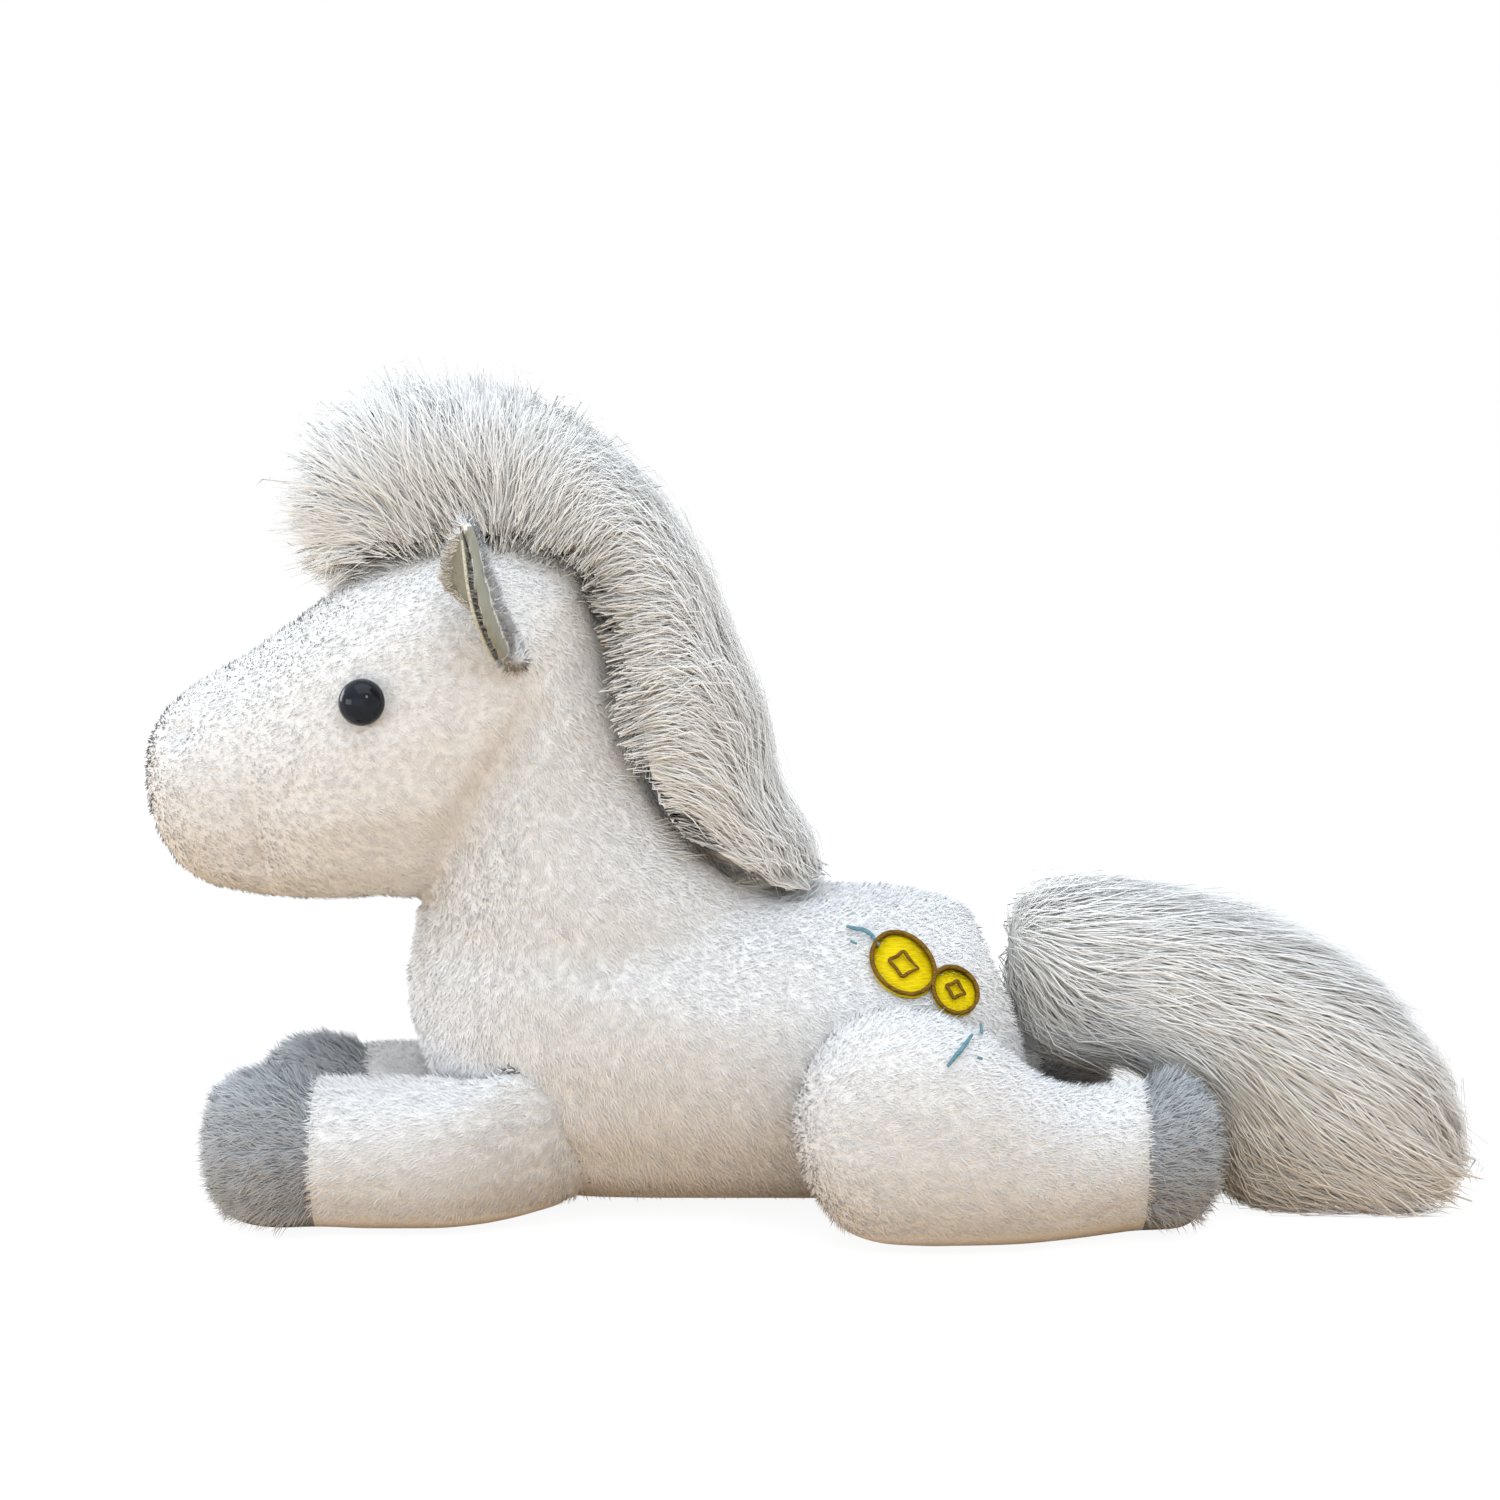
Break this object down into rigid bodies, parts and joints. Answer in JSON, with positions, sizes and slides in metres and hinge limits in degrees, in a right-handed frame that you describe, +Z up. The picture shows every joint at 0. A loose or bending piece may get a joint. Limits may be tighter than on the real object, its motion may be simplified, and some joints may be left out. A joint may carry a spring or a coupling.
{
  "type": "plush horse",
  "caption": "Stuffed plush horse lying on its belly, with a long-pile mane and tail, grey hooves, cupped lined ears and domed button eyes.",
  "frame": {"origin": "middle of the footprint, on the floor that the toy lies on", "axes": "+X from head to tail, +Y towards the toy's right side, +Z up"},
  "size_m": [0.3492, 0.149, 0.2154],
  "materials": {
    "short_plush": "soft short-pile white plush",
    "long_plush": "long-pile warm white plush, combed into strands",
    "hoof_plush": "grey short-pile plush, combed",
    "ear_lining": "smooth grey-green satin",
    "stuffing": "loose white polyester fibre",
    "eye": "polished black",
    "washer": "plain moulded"
  },
  "bodies": {
    "torso": {"trunk_skin": "short_plush", "trunk_stuffing": "stuffing", "neck_skin": "short_plush", "neck_stuffing": "stuffing", "neck_mane": "long_plush"},
    "head": {"head_skin": "short_plush", "muzzle_skin": "short_plush", "head_stuffing": "stuffing", "crown_mane": "long_plush", "left_eye": "eye", "right_eye": "eye", "left_eye_washer": "washer", "right_eye_washer": "washer"},
    "left_ear": {"left_ear_back": "short_plush", "left_ear_lining": "ear_lining"},
    "right_ear": {"right_ear_back": "short_plush", "right_ear_lining": "ear_lining"},
    "left_foreleg": {"left_fore_leg_skin": "short_plush", "left_fore_hoof_skin": "hoof_plush", "left_fore_leg_stuffing": "stuffing"},
    "right_foreleg": {"right_fore_leg_skin": "short_plush", "right_fore_hoof_skin": "hoof_plush", "right_fore_leg_stuffing": "stuffing"},
    "left_hind_leg": {"left_hind_leg_skin": "short_plush", "left_hind_hoof_skin": "hoof_plush", "left_hind_leg_stuffing": "stuffing"},
    "right_hind_leg": {"right_hind_leg_skin": "short_plush", "right_hind_hoof_skin": "hoof_plush", "right_hind_leg_stuffing": "stuffing"},
    "tail": {"tail_skin": "long_plush", "tail_stuffing": "stuffing"}
  },
  "joints": [
    {"name": "head_twist", "type": "hinge", "parent": "torso", "child": "head", "pos_m": [-0.07387, 0, 0.12545], "axis": [-0.866, 0, 0.5], "range_deg": [-20, 20], "stiffness_Nm_per_rad": 0.6},
    {"name": "left_ear_fold", "type": "hinge", "parent": "head", "child": "left_ear", "pos_m": [-0.07454, -0.03609, 0.15282], "axis": [-0.4792, 0.2085, 0.8526], "range_deg": [-15, 35], "stiffness_Nm_per_rad": 0.02},
    {"name": "right_ear_fold", "type": "hinge", "parent": "head", "child": "right_ear", "pos_m": [-0.07454, 0.03609, 0.15282], "axis": [0.4792, 0.2085, -0.8526], "range_deg": [-15, 35], "stiffness_Nm_per_rad": 0.02},
    {"name": "left_foreleg_splay", "type": "hinge", "parent": "torso", "child": "left_foreleg", "pos_m": [-0.06035, -0.034, 0], "axis": [0, 0, 1], "range_deg": [0, 20], "stiffness_Nm_per_rad": 0.4},
    {"name": "right_foreleg_splay", "type": "hinge", "parent": "torso", "child": "right_foreleg", "pos_m": [-0.05536, 0.034, 0], "axis": [0, 0, -1], "range_deg": [0, 20], "stiffness_Nm_per_rad": 0.4},
    {"name": "left_hind_leg_splay", "type": "hinge", "parent": "torso", "child": "left_hind_leg", "pos_m": [0.00968, -0.046, 0], "axis": [0, 0, -1], "range_deg": [0, 15], "stiffness_Nm_per_rad": 0.4},
    {"name": "right_hind_leg_splay", "type": "hinge", "parent": "torso", "child": "right_hind_leg", "pos_m": [-0.01031, 0.046, 0], "axis": [0, 0, 1], "range_deg": [0, 15], "stiffness_Nm_per_rad": 0.4},
    {"name": "tail_lift", "type": "hinge", "parent": "torso", "child": "tail", "pos_m": [0.07192, 0, 0.06449], "axis": [0, -1, 0], "range_deg": [0, 50], "stiffness_Nm_per_rad": 0.3}
  ]
}
